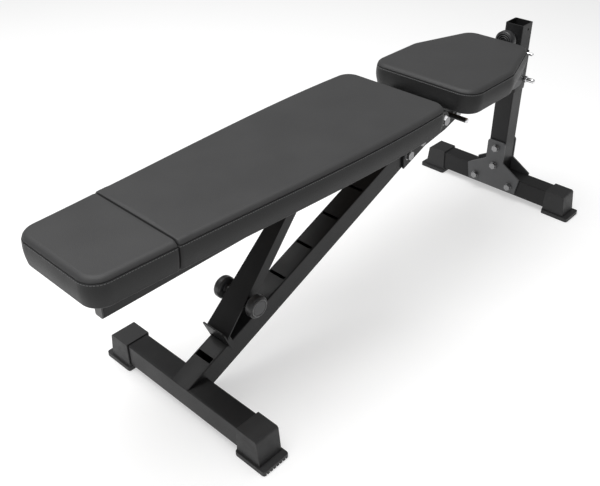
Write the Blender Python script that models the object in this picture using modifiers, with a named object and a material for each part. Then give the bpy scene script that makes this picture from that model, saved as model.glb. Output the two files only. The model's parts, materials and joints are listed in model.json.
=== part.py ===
"""Adjustable weight bench: a ladder frame, a post, a folding backrest with its strut, and two pads.

Metres, +Z up. The origin is on the floor at the middle of the bench, and +X runs from the head
end of the backrest to the post. Left is +Y.
"""

import math

import bmesh
import bpy
from mathutils import Matrix, Vector

# Driving dimensions
TUBE = 0.050
TUBE_WALL = 0.0025
TUBE_CORNER = 0.0030
TUBE_INNER_CORNER = 0.0010
GAP = 0.0003
WHEELBASE = 1.130
LADDER_FOOT_X = -0.4700
POST_X = LADDER_FOOT_X + WHEELBASE

FOOT_TOP = 0.0643
FOOT_TUBE_LENGTH = 0.4195
CAP_LENGTH = 0.052
CAP_END_Y = 0.21375
CAP_SKIN = 0.0032
CAP_SPLAY = 0.008
FLANGE_HALF_X = 0.0322
FLANGE_END_Y = 0.2355
FLANGE_HEIGHT = 0.010

LADDER_SLOPE = math.radians(22.63)
LADDER_START_X = LADDER_FOOT_X - 0.0268
LADDER_END = 0.772
SLOT_HALF_WIDTH = 0.021
FIRST_SLOT = 0.0736
FIRST_SLOT_LENGTH = 0.0127
SLOT_PITCH = 0.0877
SECOND_SLOT = 0.1205
SLOT_LENGTH = 0.007
SLOTS_AFTER_FIRST = 6

PIVOT_X = 0.2180
PIVOT_Z = 0.398
CROSS_TUBE_RADIUS = 0.015
PLATE_INNER_Y = 0.0255
PLATE_THICKNESS = 0.005

RAIL_BOTTOM = 0.3785
RAIL_TOP = 0.4165
RAIL_INNER_Y = 0.0567
RAIL_WIDTH = 0.020
RAIL_START_X = -0.6698
RAIL_END_X = 0.1852
EAR_RADIUS = 0.020

PAD_BOTTOM = 0.4168
PAD_THICKNESS = 0.0567
PAD_HEAD_X = -0.7018
PAD_LENGTH = 0.8524
PAD_CORNER = 0.037
HEAD_PAD_END_X = -0.5450
BOARD_THICKNESS = 0.012
BOARD_INSET = 0.012

SEAT_START_X = 0.2330
SEAT_END_X = 0.5680
SEAT_HALF_WIDTH = 0.140
SEAT_SHOULDER_X = 0.4002
SEAT_BOTTOM = 0.4143
SEAT_TOP = 0.471
SEAT_CORNER = 0.040

BEAM_TOP = 0.385
BEAM_START_X = 0.2522
POST_TOP = 0.4885
COLLAR_BOTTOM = 0.310
COLLAR_TOP = 0.412
COLLAR_SKIN = 0.0025

STRUT_ANGLE = math.radians(46.1)
STRUT_PIVOT_X = -0.1260
STRUT_PIVOT_Z = 0.392
STRUT_REACH = 0.3753
STRUT_WEB_OFFSET = 0.0121
STRUT_SHEET = 0.003
STRUT_DEPTH = 0.025
STRUT_HALF_FOOT = 0.031
STRUT_TAPER = 0.055
STRUT_WEB_START = 0.0017
FLANGE_START = 0.070
LIP_ALONG = 0.1190
LIP_GAP = 0.0025
LIP_TOP = 0.040
LIP_CHAMFER = 0.004
CHEEK_DROP = 0.010
CHEEK_LENGTH = 0.010
CHEEK_TIP = 0.005
GRIP_ALONG = 0.0839
GRIP_PIN_RADIUS = 0.006
GRIP_PIN_HALF = 0.0425
KNOB_RADIUS = 0.0240
KNOB_INNER_Y = 0.0360
KNOB_OUTER_Y = 0.0560
KNOB_HUB_RADIUS = 0.0105
KNOB_HUB_Y = 0.0275

POP_PIN_Z = 0.455
POP_KNOB_RADIUS = 0.0255
POP_KNOB_FACE_X = 0.5900

M10 = 0.005
M12 = 0.006
HEAD_BOLTS = ((0.1660, 0.3137), (0.2102, 0.3320))
BEAM_BOLTS = ((0.2772, 0.355), (0.3472, 0.355))
GUSSET_BOLTS = ((0.0, 0.140), (0.0, 0.086), (0.053, 0.038), (-0.053, 0.038))

ROD_X = 0.2910
ROD_Z = 0.375
ROD_RADIUS = 0.0058
ROD_HALF_LENGTH = 0.096

UPPER_PIN = (POST_X - 0.0085, 0.4168, 0.004)
LOWER_PIN = (POST_X + 0.0095, 0.340, 0.0058)
UPPER_PIN_TIP_Y = -0.0560
LOWER_PIN_TIP_Y = -0.0620
LOWER_PIN_COLLAR_Y = -0.040

ROUND_SIDES = 16


for old in list(bpy.data.objects):
    bpy.data.objects.remove(old, do_unlink=True)
bench = bpy.data.collections.new("weight_bench")
cutters = bpy.data.collections.new("cutters")
bpy.context.scene.collection.children.link(bench)
bpy.context.scene.collection.children.link(cutters)


# Materials

def material(name, colour, roughness, metallic):
    made = bpy.data.materials.new(name)
    made.use_nodes = True
    shader = made.node_tree.nodes["Principled BSDF"]
    shader.inputs["Base Color"].default_value = (*colour, 1.0)
    shader.inputs["Roughness"].default_value = roughness
    shader.inputs["Metallic"].default_value = metallic
    made.diffuse_color = (*colour, 1.0)
    return made


BLACK_PAINT = material("satin_black_paint", (0.028, 0.028, 0.030), 0.45, 0.0)
GREY_PAINT = material("gunmetal_paint", (0.13, 0.13, 0.135), 0.4, 0.3)
ZINC = material("zinc_plated_steel", (0.55, 0.55, 0.56), 0.35, 1.0)
CHROME = material("chromed_steel", (0.75, 0.75, 0.76), 0.12, 1.0)
RUBBER = material("moulded_rubber", (0.022, 0.022, 0.023), 0.7, 0.0)
PLASTIC = material("black_plastic", (0.035, 0.035, 0.037), 0.5, 0.0)
UPHOLSTERY = material("black_synthetic_leather", (0.040, 0.040, 0.042), 0.6, 0.0)
PLYWOOD = material("plywood", (0.35, 0.24, 0.14), 0.8, 0.0)


# Shapes

def arc(centre, radius, start, end, steps=5):
    """Points on an arc between two angles in degrees."""
    angles = (math.radians(start + (end - start) * i / steps) for i in range(steps + 1))
    return [(centre[0] + radius * math.cos(a), centre[1] + radius * math.sin(a)) for a in angles]


def rounded(width, height, radius, steps=2):
    """A rectangle centred on the origin with round corners."""
    x = width / 2 - radius
    y = height / 2 - radius
    corners = ((x, y, 0), (-x, y, 90), (-x, -y, 180), (x, -y, 270))
    return [point for cx, cy, a in corners for point in arc((cx, cy), radius, a, a + 90, steps)]


def circle(radius, centre=(0.0, 0.0), sides=ROUND_SIDES):
    return arc(centre, radius, 0, 360 * (sides - 1) / sides, sides - 1)


def square_tube_section(size=TUBE):
    inner = size - 2 * TUBE_WALL
    return [rounded(size, size, TUBE_CORNER), rounded(inner, inner, TUBE_INNER_CORNER)]


def extruded(name, outlines, thickness, matrix=None, bevel=0.0):
    """A closed solid from flat outlines, centred on its own XY plane. Inner outlines are holes."""
    curve = bpy.data.curves.new(name, "CURVE")
    curve.dimensions = "2D"
    curve.fill_mode = "BOTH"
    curve.extrude = thickness / 2
    for outline in outlines:
        spline = curve.splines.new("POLY")
        spline.points.add(len(outline) - 1)
        for point, (x, y) in zip(spline.points, outline):
            point.co = (x, y, 0.0, 1.0)
        spline.use_cyclic_u = True
    drawn = bpy.data.objects.new(name + "_outline", curve)
    bench.objects.link(drawn)
    drawn.matrix_world = matrix or Matrix()
    bpy.context.view_layer.update()
    mesh = bpy.data.meshes.new_from_object(drawn.evaluated_get(bpy.context.evaluated_depsgraph_get()))
    made = bpy.data.objects.new(name, mesh)
    made.matrix_world = drawn.matrix_world
    bpy.data.objects.remove(drawn, do_unlink=True)
    bpy.data.curves.remove(curve)
    form = bmesh.new()
    form.from_mesh(mesh)
    bmesh.ops.remove_doubles(form, verts=form.verts, dist=0.00001)
    bmesh.ops.recalc_face_normals(form, faces=form.faces)
    form.to_mesh(mesh)
    form.free()
    bench.objects.link(made)
    if bevel:
        edge = made.modifiers.new("rounded_edges", "BEVEL")
        edge.width = bevel
        edge.segments = 2
        edge.limit_method = "ANGLE"
        edge.angle_limit = math.radians(50)
        bake(made)
    return made


def upright(x=0.0, y=0.0, z=0.0):
    """Places a flat outline drawn in X and Z: its thickness runs along Y."""
    return Matrix.Translation((x, y, z)) @ Matrix.Rotation(math.radians(90), 4, "X")


def facing_x(x=0.0, y=0.0, z=0.0):
    """Places a flat outline drawn in Y and Z: its thickness runs along X."""
    axes = Matrix(((0, 0, 1, 0), (1, 0, 0, 0), (0, 1, 0, 0), (0, 0, 0, 1)))
    return Matrix.Translation((x, y, z)) @ axes


def flat(x=0.0, y=0.0, z=0.0):
    return Matrix.Translation((x, y, z))


def turned(name, profile, axis, place, sides=ROUND_SIDES):
    """A solid of revolution. The profile lists (radius, height) from top to bottom."""
    mesh = bpy.data.meshes.new(name)
    form = bmesh.new()
    rim = [form.verts.new((radius, 0.0, height)) for radius, height in profile]
    for upper, lower in zip(rim, rim[1:]):
        form.edges.new((upper, lower))
    form.to_mesh(mesh)
    form.free()
    made = bpy.data.objects.new(name, mesh)
    bench.objects.link(made)
    screw = made.modifiers.new("turn", "SCREW")
    screw.axis = "Z"
    screw.steps = sides
    screw.render_steps = sides
    screw.use_merge_vertices = True
    screw.merge_threshold = 0.00001
    made.matrix_world = Matrix.Translation(place) @ Vector(axis).to_track_quat("Z", "X").to_matrix().to_4x4()
    bake(made)
    return made


def box(name, low, high):
    """A block between two opposite corners."""
    mesh = bpy.data.meshes.new(name)
    form = bmesh.new()
    middle = (Vector(low) + Vector(high)) / 2
    size = Vector(high) - Vector(low)
    bmesh.ops.create_cube(form, size=1.0, matrix=Matrix.Translation(middle) @ Matrix.Diagonal((*size, 1.0)))
    form.to_mesh(mesh)
    form.free()
    made = bpy.data.objects.new(name, mesh)
    bench.objects.link(made)
    return made


def bake(piece):
    """Turns the evaluated shape into the piece's own mesh."""
    bpy.context.view_layer.update()
    mesh = bpy.data.meshes.new_from_object(piece.evaluated_get(bpy.context.evaluated_depsgraph_get()))
    piece.modifiers.clear()
    piece.data = mesh


def combine(piece, others, operation):
    """Joins other solids to a piece, or cuts them out of it, and removes them."""
    for other in others:
        step = piece.modifiers.new(operation.lower(), "BOOLEAN")
        step.operation = operation
        step.object = other
    bake(piece)
    for other in others:
        bpy.data.objects.remove(other, do_unlink=True)
    return piece


def join(piece, *others):
    return combine(piece, others, "UNION")


def cut(piece, *others):
    return combine(piece, others, "DIFFERENCE")


def drill(piece, radius, place, axis=(0, 1, 0), length=0.3, sides=12):
    half = length / 2
    tool = turned("drill", [(0, half), (radius, half), (radius, -half), (0, -half)], axis, place, sides)
    return cut(piece, tool)


def finish(piece, look, origin=None):
    """Gives a piece its material, its shading, and its origin."""
    piece.data.materials.clear()
    piece.data.materials.append(look)
    if origin is not None:
        offset = Matrix.Translation(origin)
        piece.data.transform(offset.inverted() @ piece.matrix_world)
        piece.matrix_world = offset
    piece.data.shade_smooth()
    piece.data.set_sharp_from_angle(angle=math.radians(30))
    return piece


def hex_bolt(name, place, axis, grip, across=0.019, shank=0.006, nut=True):
    """A bolt with its head at +axis, two washers and a nut. The grip is centred on its place."""
    frame = Matrix.Translation(place) @ Vector(axis).to_track_quat("Z", "X").to_matrix().to_4x4()
    head_height = across * 0.42
    washer = 0.0022
    top = grip / 2 + GAP
    corner = across / math.sqrt(3)
    tail = -top - washer - head_height - 0.003 if nut else -grip / 2
    profile = [(0, top + washer), (corner * 1.1, top + washer), (corner * 1.1, top), (shank, top)]
    if nut:
        profile += [(shank, -top), (corner * 1.1, -top), (corner * 1.1, -top - washer)]
        profile += [(shank, -top - washer)]
    profile += [(shank, tail), (0, tail)]
    body = turned(name, profile, axis, place)
    overlap = 0.0005
    head_middle = top + washer + head_height / 2 - overlap / 2
    prisms = [extruded("head", [circle(corner, sides=6)], head_height + overlap,
                       frame @ Matrix.Translation((0, 0, head_middle)))]
    if nut:
        prisms.append(extruded("nut", [circle(corner, sides=6)], head_height + overlap,
                               frame @ Matrix.Translation((0, 0, -head_middle))))
    return join(body, *prisms)


# Ladder foot and post foot

def foot_tube(name, x):
    middle = FOOT_TOP - TUBE / 2
    return extruded(name, square_tube_section(), FOOT_TUBE_LENGTH, upright(x, 0, middle))


def foot_cap(name, x, side):
    """A moulded end cap: a sleeve around the tube on a wider sole with notches across its end."""
    inner = CAP_END_Y - CAP_LENGTH
    top = FOOT_TOP + CAP_SKIN
    foot = CAP_END_Y + CAP_SPLAY
    sleeve = [(side * y, z)
              for y, z in ((inner - 0.002, 0.002), (foot, 0.002), (CAP_END_Y + 0.001, top - 0.004),
                                         (CAP_END_Y - 0.003, top), (inner, top))]
    cap = extruded(name, [sleeve], TUBE + 2 * CAP_SKIN, facing_x(x), bevel=0.0015)
    length = FLANGE_END_Y - inner + 0.003
    middle = side * (inner - 0.003 + length / 2)
    sole = extruded("sole", [rounded(2 * FLANGE_HALF_X, length, 0.005)], FLANGE_HEIGHT,
                    flat(x, middle, FLANGE_HEIGHT / 2))
    join(cap, sole)
    socket_size = TUBE + 2 * GAP
    socket_length = CAP_LENGTH + 0.010
    socket_end = FOOT_TUBE_LENGTH / 2 + GAP
    socket = extruded("socket", [rounded(socket_size, socket_size, TUBE_CORNER)], socket_length,
                      upright(x, side * (socket_end - socket_length / 2), FOOT_TOP - TUBE / 2))
    cut(cap, socket)
    notches = []
    notch_count = 7
    pitch = 2 * FLANGE_HALF_X / (notch_count + 1)
    for i in range(notch_count):
        at = x - FLANGE_HALF_X + pitch * (i + 1)
        end = side * FLANGE_END_Y
        near, far = sorted((end - side * 0.004, end + side * 0.004))
        notches.append(box("notch", (at - 0.0015, near, -0.001), (at + 0.0015, far, 0.0055)))
    return cut(cap, *notches)


# Ladder

def on_ladder(along, above=0.0):
    """A point over the middle of the ladder's top face."""
    c = math.cos(LADDER_SLOPE)
    s = math.sin(LADDER_SLOPE)
    return Vector((LADDER_START_X + along * c - above * s, 0.0, FOOT_TOP + along * s + above * c))


def ladder_frame(along, above):
    return Matrix.Translation(on_ladder(along, above)) @ Matrix.Rotation(-LADDER_SLOPE, 4, "Y")


def ladder_tube():
    """The sloping tube with its row of slots, coped over the foot tube."""
    spare = 0.060
    length = LADDER_END + spare
    place = ladder_frame(LADDER_END - length / 2, -TUBE / 2) @ facing_x()
    tube = extruded("ladder_tube", square_tube_section(), length, place)
    cope = box("cope", (LADDER_FOOT_X - 0.3, -TUBE, -0.2),
               (LADDER_FOOT_X + TUBE / 2 + GAP, TUBE, FOOT_TOP + GAP))
    slots = [(FIRST_SLOT, FIRST_SLOT_LENGTH)]
    slots += [(SECOND_SLOT + SLOT_PITCH * i, SLOT_LENGTH) for i in range(SLOTS_AFTER_FIRST)]
    tools = [extruded("slot", [rounded(length, 2 * SLOT_HALF_WIDTH, 0.001, 1)], 4 * TUBE_WALL,
                      ladder_frame(along, 0.0)) for along, length in slots]
    return cut(tube, cope, *tools)


def head_bracket_plate(name, side):
    """A side plate that joins the ladder, the main beam and the hinge cross tube."""
    outline = [(0.1546, 0.2814), (0.2334, 0.311), (0.3110, 0.323), (0.3500, 0.335), (0.3652, 0.347),
               (0.3682, 0.360), (0.3632, 0.367)]
    outline += arc((PIVOT_X, PIVOT_Z), 0.0195, 50, 150, 6)
    outline += [(0.1480, 0.352), (0.1480, 0.335)]
    middle = side * (PLATE_INNER_Y + PLATE_THICKNESS / 2)
    plate = extruded(name, [outline], PLATE_THICKNESS, upright(0, middle, 0))
    drill(plate, CROSS_TUBE_RADIUS + GAP, (PIVOT_X, middle, PIVOT_Z), length=0.02, sides=ROUND_SIDES)
    for x, z in HEAD_BOLTS + BEAM_BOLTS:
        drill(plate, M12 + GAP, (x, middle, z), length=0.02)
    drill(plate, ROD_RADIUS + GAP, (ROD_X, middle, ROD_Z), length=0.02)
    return plate


# Seat frame


def main_beam():
    """The level tube between the head plates and the post."""
    end = POST_X - TUBE / 2 - COLLAR_SKIN - 2 * GAP
    length = end - BEAM_START_X
    beam = extruded("main_beam", square_tube_section(), length,
                    facing_x(BEAM_START_X + length / 2, 0, BEAM_TOP - TUBE / 2))
    for x, z in BEAM_BOLTS:
        drill(beam, M12 + GAP, (x, 0, z))
    return drill(beam, ROD_RADIUS + GAP, (ROD_X, 0, ROD_Z))


def seat_bracket(name, x, length, cheeks):
    """A raised tray on the beam with ears under the seat board."""
    top = SEAT_BOTTOM - GAP
    low = BEAM_TOP + GAP
    wall = 0.0022
    half = 0.0253 + wall
    foot = BEAM_TOP - cheeks
    outer = 0.075
    section = [(-outer, top - wall), (-half, top - wall), (-half, foot), (-half + wall, foot),
               (-half + wall, low), (half - wall, low), (half - wall, foot), (half, foot),
               (half, top - wall), (outer, top - wall), (outer, top), (half - 0.006, top),
               (half - 0.006, low + 0.004), (-half + 0.006, low + 0.004), (-half + 0.006, top), (-outer, top)]
    return extruded(name, [section], length, facing_x(x))


def seat_outline(inset=0.0, corner=SEAT_CORNER):
    """Half of the seat's plan, front to back, as (x, half width)."""
    front = SEAT_START_X + inset
    back = SEAT_END_X - inset
    side = SEAT_HALF_WIDTH - inset
    radius = corner - inset
    taper = math.atan(1 / 3)
    points = arc((front + radius, side - radius), radius, 180, 90)
    shoulder_radius = 0.06
    points += arc((SEAT_SHOULDER_X - 0.01, side - shoulder_radius), shoulder_radius, 90,
                  90 - math.degrees(taper), 3)
    x, y = points[-1]
    end_radius = 0.040 - inset
    centre_x = back - end_radius
    centre_y = y - (centre_x - x) / 3 - end_radius * math.sqrt(10) / 3
    points += arc((centre_x, centre_y), end_radius, 90 - math.degrees(taper), 0)
    return points + [(px, -py) for px, py in reversed(points)]


def pad_half_width(share):
    """Half the backrest's width at a share of its length from the head end."""
    return 0.1051 + 0.0307 * share + 0.0873 * share ** 2 - 0.0849 * share ** 3


def pad_outline(start, end, start_corner, end_corner, inset=0.0):
    """The backrest's plan between two stations, with round corners where it ends."""
    low = start + inset
    high = end - inset
    side = []
    if start_corner:
        radius = start_corner - inset
        centre = (low + radius, pad_half_width((low + radius - PAD_HEAD_X) / PAD_LENGTH) - inset - radius)
        side += arc(centre, radius, 180, 90)
    else:
        side.append((low, pad_half_width((low - PAD_HEAD_X) / PAD_LENGTH) - inset))
    stations = 6
    first = low + start_corner
    last = high - end_corner
    for i in range(1, stations):
        x = first + (last - first) * i / stations
        side.append((x, pad_half_width((x - PAD_HEAD_X) / PAD_LENGTH) - inset))
    if end_corner:
        radius = end_corner - inset
        centre = (high - radius, pad_half_width((high - radius - PAD_HEAD_X) / PAD_LENGTH) - inset - radius)
        side += arc(centre, radius, 90, 0)
    else:
        side.append((high, pad_half_width((high - PAD_HEAD_X) / PAD_LENGTH) - inset))
    return side + [(x, -y) for x, y in reversed(side)]


def cushion(name, outline, pocket, bottom, top):
    """A pad with rounded edges and a pocket for its board."""
    pad = extruded(name, [outline], top - bottom, flat(0, 0, (bottom + top) / 2))
    edge = pad.modifiers.new("rounded_edges", "BEVEL")
    edge.width = 0.012
    edge.segments = 2
    edge.limit_method = "ANGLE"
    edge.angle_limit = math.radians(50)
    bake(pad)
    depth = BOARD_THICKNESS + GAP
    tool = extruded("pocket", [pocket], 2 * depth, flat(0, 0, bottom))
    return cut(pad, tool)


# Post

def post_tube():
    length = POST_TOP - FOOT_TOP - GAP
    post = extruded("post_tube", square_tube_section(), length, flat(POST_X, 0, POST_TOP - length / 2))
    drill(post, 0.0035, (POST_X + 0.004, -0.025, 0.473), length=0.012, sides=12)
    drill(post, 0.0065, (POST_X - 0.025, 0, POP_PIN_Z), (1, 0, 0), 0.012)
    for x, z, radius in (UPPER_PIN, LOWER_PIN):
        drill(post, radius + GAP, (x, 0, z), length=0.08)
    drill(post, M10 + GAP, (POST_X, 0, 0.140), (1, 0, 0), 0.08)
    return drill(post, M10 + GAP, (POST_X, 0, 0.086), (1, 0, 0), 0.08)


def post_collar():
    """The sleeve around the post that the main beam is welded to."""
    outer = TUBE + 2 * (GAP + COLLAR_SKIN)
    bore = TUBE + 2 * GAP
    rings = [rounded(outer, outer, TUBE_CORNER + COLLAR_SKIN), rounded(bore, bore, TUBE_CORNER)]
    height = COLLAR_TOP - COLLAR_BOTTOM
    collar = extruded("post_collar", rings, height, flat(POST_X, 0, COLLAR_BOTTOM + height / 2))
    x, z, radius = LOWER_PIN
    return drill(collar, radius + GAP, (x, 0, z), length=0.08)


def post_side_plate(name, side):
    """A cheek plate that ties the beam to the post collar."""
    outline = [(0.5052, 0.327), (0.6302, 0.325)]
    outline += arc((0.6452, 0.342), 0.016, 290, 360, 4)
    outline += [(0.6592, 0.360), (0.6502, 0.4110), (0.5052, 0.4110)]
    middle = side * 0.0301
    return extruded(name, [outline], 0.0038, upright(0, middle, 0))


def hitch_pin(name, pin, tip_y, collar_y=None):
    """A round pin across the post with a domed end."""
    x, z, radius = pin
    profile = [(0, -tip_y), (radius * 0.6, -tip_y - 0.0006), (radius, -tip_y - radius * 0.6)]
    if collar_y:
        profile += [(radius, -collar_y), (radius + 0.003, -collar_y), (radius + 0.003, -collar_y - 0.006),
                    (radius, -collar_y - 0.006)]
    profile += [(radius, -0.024), (0, -0.024)]
    return turned(name, profile, (0, -1, 0), (x, 0, z), 16)


def pop_pin_housing():
    """The threaded barrel welded to the post for the spring pin."""
    face = POST_X - TUBE / 2 - GAP
    long = 0.022
    profile = [(0.0065, long), (0.011, long), (0.011, 0), (0.0065, 0), (0.0065, long)]
    return turned("pop_pin_housing", profile, (-1, 0, 0), (face, 0, POP_PIN_Z))


def pop_pin_knob():
    """A round pull knob with raised rings and its locking pin."""
    back = POST_X - TUBE / 2 - 0.0245
    thick = back - POP_KNOB_FACE_X
    r = POP_KNOB_RADIUS
    profile = [(0, thick), (0.0085, thick), (0.0095, thick - 0.0015), (0.0165, thick - 0.0015),
               (0.0175, thick), (0.0205, thick), (0.0225, thick - 0.002), (r, thick - 0.006),
               (r, 0.003), (r - 0.003, 0), (0.0048, 0), (0.0048, -0.040), (0, -0.040)]
    return turned("pop_pin_knob", profile, (-1, 0, 0), (back, 0, POP_PIN_Z), 24)


def gusset_plate(name, side):
    """The plate that braces the post on its foot tube."""
    half_top = 0.0265
    corner = 0.008
    top = 0.161
    right = arc((half_top - corner, top - corner), corner, 90, 0, 3)
    right += [(half_top, 0.100), (0.081, 0.067), (0.073, 0.0195)]
    outline = right + [(-y, z) for y, z in reversed(right)]
    x = POST_X + side * (TUBE / 2 + GAP + 0.0022)
    plate = extruded(name, [outline], 0.0044, facing_x(x))
    for y, z in GUSSET_BOLTS:
        drill(plate, M10 + GAP, (x, y, z), (1, 0, 0), 0.02)
    return plate


# Backrest

def backrest_rail(name, side):
    length = RAIL_END_X - RAIL_START_X
    height = RAIL_TOP - RAIL_BOTTOM
    wall = 0.002
    section = [rounded(RAIL_WIDTH, height, 0.003), rounded(RAIL_WIDTH - 2 * wall, height - 2 * wall, 0.001)]
    y = side * (RAIL_INNER_Y + RAIL_WIDTH / 2)
    return extruded(name, section, length, facing_x(RAIL_START_X + length / 2, y, RAIL_BOTTOM + height / 2))


def rail_plug(name, side):
    """The plastic plug in the head end of a rail."""
    height = RAIL_TOP - RAIL_BOTTOM
    y = side * (RAIL_INNER_Y + RAIL_WIDTH / 2)
    middle = RAIL_BOTTOM + height / 2
    head = extruded(name, [rounded(RAIL_WIDTH, height, 0.003)], 0.003,
                    facing_x(RAIL_START_X - 0.0018, y, middle))
    spigot = extruded("spigot", [rounded(RAIL_WIDTH - 0.0046, height - 0.0046, 0.001)], 0.020,
                      facing_x(RAIL_START_X + 0.009, y, middle))
    return join(head, spigot)


def hinge_ear(name, side):
    """A plate on the outer side of a rail that turns on the hinge bolt."""
    back = 0.105
    outline = arc((PIVOT_X, PIVOT_Z), EAR_RADIUS, 90, -90, 10)
    outline += [(PIVOT_X - 0.03, RAIL_BOTTOM), (back + 0.01, RAIL_BOTTOM), (back, RAIL_BOTTOM + 0.01),
                (back, RAIL_TOP - 0.002), (PIVOT_X - 0.03, RAIL_TOP)]
    middle = side * (RAIL_INNER_Y + RAIL_WIDTH + GAP + PLATE_THICKNESS / 2)
    ear = extruded(name, [outline], PLATE_THICKNESS, upright(0, middle, 0))
    return drill(ear, M12 + GAP, (PIVOT_X, middle, PIVOT_Z), length=0.02)


def hinge_bolt(name, side):
    """The bolt on which an ear turns, screwed into the cross tube."""
    inner = 0.050
    outer = RAIL_INNER_Y + RAIL_WIDTH + GAP + PLATE_THICKNESS
    grip = outer - inner
    return hex_bolt(name, (PIVOT_X, side * (inner + outer) / 2, PIVOT_Z), (0, side, 0), grip, nut=False)


def strut_bracket():
    """Two lugs under the crossbar that hold the strut's pivot bolt."""
    top = RAIL_TOP - 0.005 - GAP
    lug = 0.0155
    wall = 0.003
    outer = lug + wall
    base = 0.003
    low = STRUT_PIVOT_Z + 0.002
    section = [(-outer, top), (-outer, low), (-lug, low), (-lug, top - base),
               (lug, top - base), (lug, low), (outer, low), (outer, top)]
    bracket = extruded("strut_bracket", [section], 0.022, facing_x(STRUT_PIVOT_X))
    for side in (-1, 1):
        middle = side * (lug + wall / 2)
        eye = extruded("eye", [circle(0.0125, (STRUT_PIVOT_X, STRUT_PIVOT_Z))], wall, upright(0, middle, 0))
        join(bracket, eye)
    return drill(bracket, 0.0043, (STRUT_PIVOT_X, 0, STRUT_PIVOT_Z), length=0.08, sides=16)


# Strut

def strut_frame(along, below, y=0.0):
    """A frame on the strut: X up along it, Z out of its web, at a depth below the web's face."""
    c = math.cos(STRUT_ANGLE)
    s = math.sin(STRUT_ANGLE)
    pivot = Vector((STRUT_PIVOT_X, y, STRUT_PIVOT_Z))
    foot = pivot - STRUT_REACH * Vector((c, 0, s)) + STRUT_WEB_OFFSET * Vector((-s, 0, c))
    place = foot + along * Vector((c, 0, s)) - below * Vector((-s, 0, c))
    return Matrix.Translation(place) @ Matrix.Rotation(-STRUT_ANGLE, 4, "Y")


def strut_channel():
    """A tapered channel: a flat web down to the lip, with side flanges from the grip upwards."""
    top = STRUT_REACH
    half_top = STRUT_HALF_FOOT - STRUT_TAPER * top
    start = STRUT_WEB_START
    half_start = STRUT_HALF_FOOT - STRUT_TAPER * start
    outline = [(start, half_start), (start, -half_start), (top, -half_top), (top, half_top)]
    web = extruded("strut_channel", [outline], STRUT_SHEET, strut_frame(0, STRUT_SHEET / 2))
    flanges = []
    for side in (-1, 1):
        middle_along = (FLANGE_START + top) / 2
        half = STRUT_HALF_FOOT - STRUT_TAPER * middle_along
        reach = (top - FLANGE_START) / 2
        shape = [(-reach, 0.0), (-reach, -STRUT_DEPTH + 0.012), (-reach + 0.014, -STRUT_DEPTH),
                 (reach, -STRUT_DEPTH)]
        shape += arc((reach, -STRUT_WEB_OFFSET), 0.0121, -90, 90, 6)[1:-1]
        shape += [(reach, 0.0)]
        turn = Matrix.Rotation(-side * math.atan(STRUT_TAPER), 4, "Z")
        place = strut_frame(middle_along, 0.0) @ Matrix.Translation((0, side * (half - STRUT_SHEET / 2), 0))
        place = place @ turn @ Matrix.Rotation(math.radians(90), 4, "X")
        flanges.append(extruded("flange", [shape], STRUT_SHEET, place))
    join(web, *flanges)
    drill(web, 0.0043, (STRUT_PIVOT_X, 0, STRUT_PIVOT_Z), length=0.08, sides=16)
    grip = strut_frame(GRIP_ALONG, STRUT_WEB_OFFSET).translation
    return drill(web, 0.0063, grip, length=0.08)


def strut_foot():
    """The lip that drops into a ladder slot, with cheeks that straddle the tube under the web."""
    half = STRUT_HALF_FOOT
    inner = half - STRUT_SHEET
    corner = LIP_TOP - LIP_CHAMFER
    outline = [(half, -CHEEK_DROP), (half, corner), (half - LIP_CHAMFER, LIP_TOP),
               (-half + LIP_CHAMFER, LIP_TOP), (-half, corner), (-half, -CHEEK_DROP), (-inner, -CHEEK_DROP), (-inner, LIP_GAP),
               (inner, LIP_GAP), (inner, -CHEEK_DROP)]
    lip_frame = ladder_frame(LIP_ALONG, 0.0)
    lip = extruded("strut_foot", [outline], STRUT_SHEET, lip_frame @ facing_x())
    under_web = lip_frame.inverted() @ strut_frame(0.0, STRUT_SHEET + GAP).translation
    rise = math.tan(STRUT_ANGLE - LADDER_SLOPE)
    cheeks = []
    for side in (-1, 1):
        top_front = under_web.z - under_web.x * rise
        top_back = top_front + CHEEK_LENGTH * rise
        shape = [(0.0, -CHEEK_DROP), (STRUT_SHEET, -CHEEK_DROP), (CHEEK_LENGTH, CHEEK_TIP),
                 (CHEEK_LENGTH, top_back), (0.0, top_front)]
        place = lip_frame @ Matrix.Translation((0, side * (half - STRUT_SHEET / 2), 0))
        place = place @ Matrix.Rotation(math.radians(90), 4, "X")
        cheeks.append(extruded("cheek", [shape], STRUT_SHEET, place))
    return join(lip, *cheeks)


def grip_pin():
    """The plain pin through both flanges that carries the two grip knobs."""
    place = strut_frame(GRIP_ALONG, STRUT_WEB_OFFSET).translation
    profile = [(0, GRIP_PIN_HALF), (GRIP_PIN_RADIUS, GRIP_PIN_HALF), (GRIP_PIN_RADIUS, -GRIP_PIN_HALF),
               (0, -GRIP_PIN_HALF)]
    return turned("strut_grip_pin", profile, (0, 1, 0), place)


def grip_knob(name, side):
    """A round hand knob with a hub against the flange and a domed outer face."""
    place = strut_frame(GRIP_ALONG, STRUT_WEB_OFFSET).translation
    r = KNOB_RADIUS
    out = KNOB_OUTER_Y
    bore = GRIP_PIN_RADIUS + GAP
    depth = GRIP_PIN_HALF + GAP
    profile = [(0, out), (0.011, out - 0.0003), (0.0185, out - 0.0016), (r - 0.001, out - 0.0045),
               (r, out - 0.007), (r, KNOB_INNER_Y + 0.003), (r - 0.003, KNOB_INNER_Y),
               (KNOB_HUB_RADIUS, KNOB_INNER_Y), (KNOB_HUB_RADIUS, KNOB_HUB_Y), (bore, KNOB_HUB_Y),
               (bore, depth), (0, depth)]
    return turned(name, profile, (0, side, 0), place, 20)


# Assembly

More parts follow.
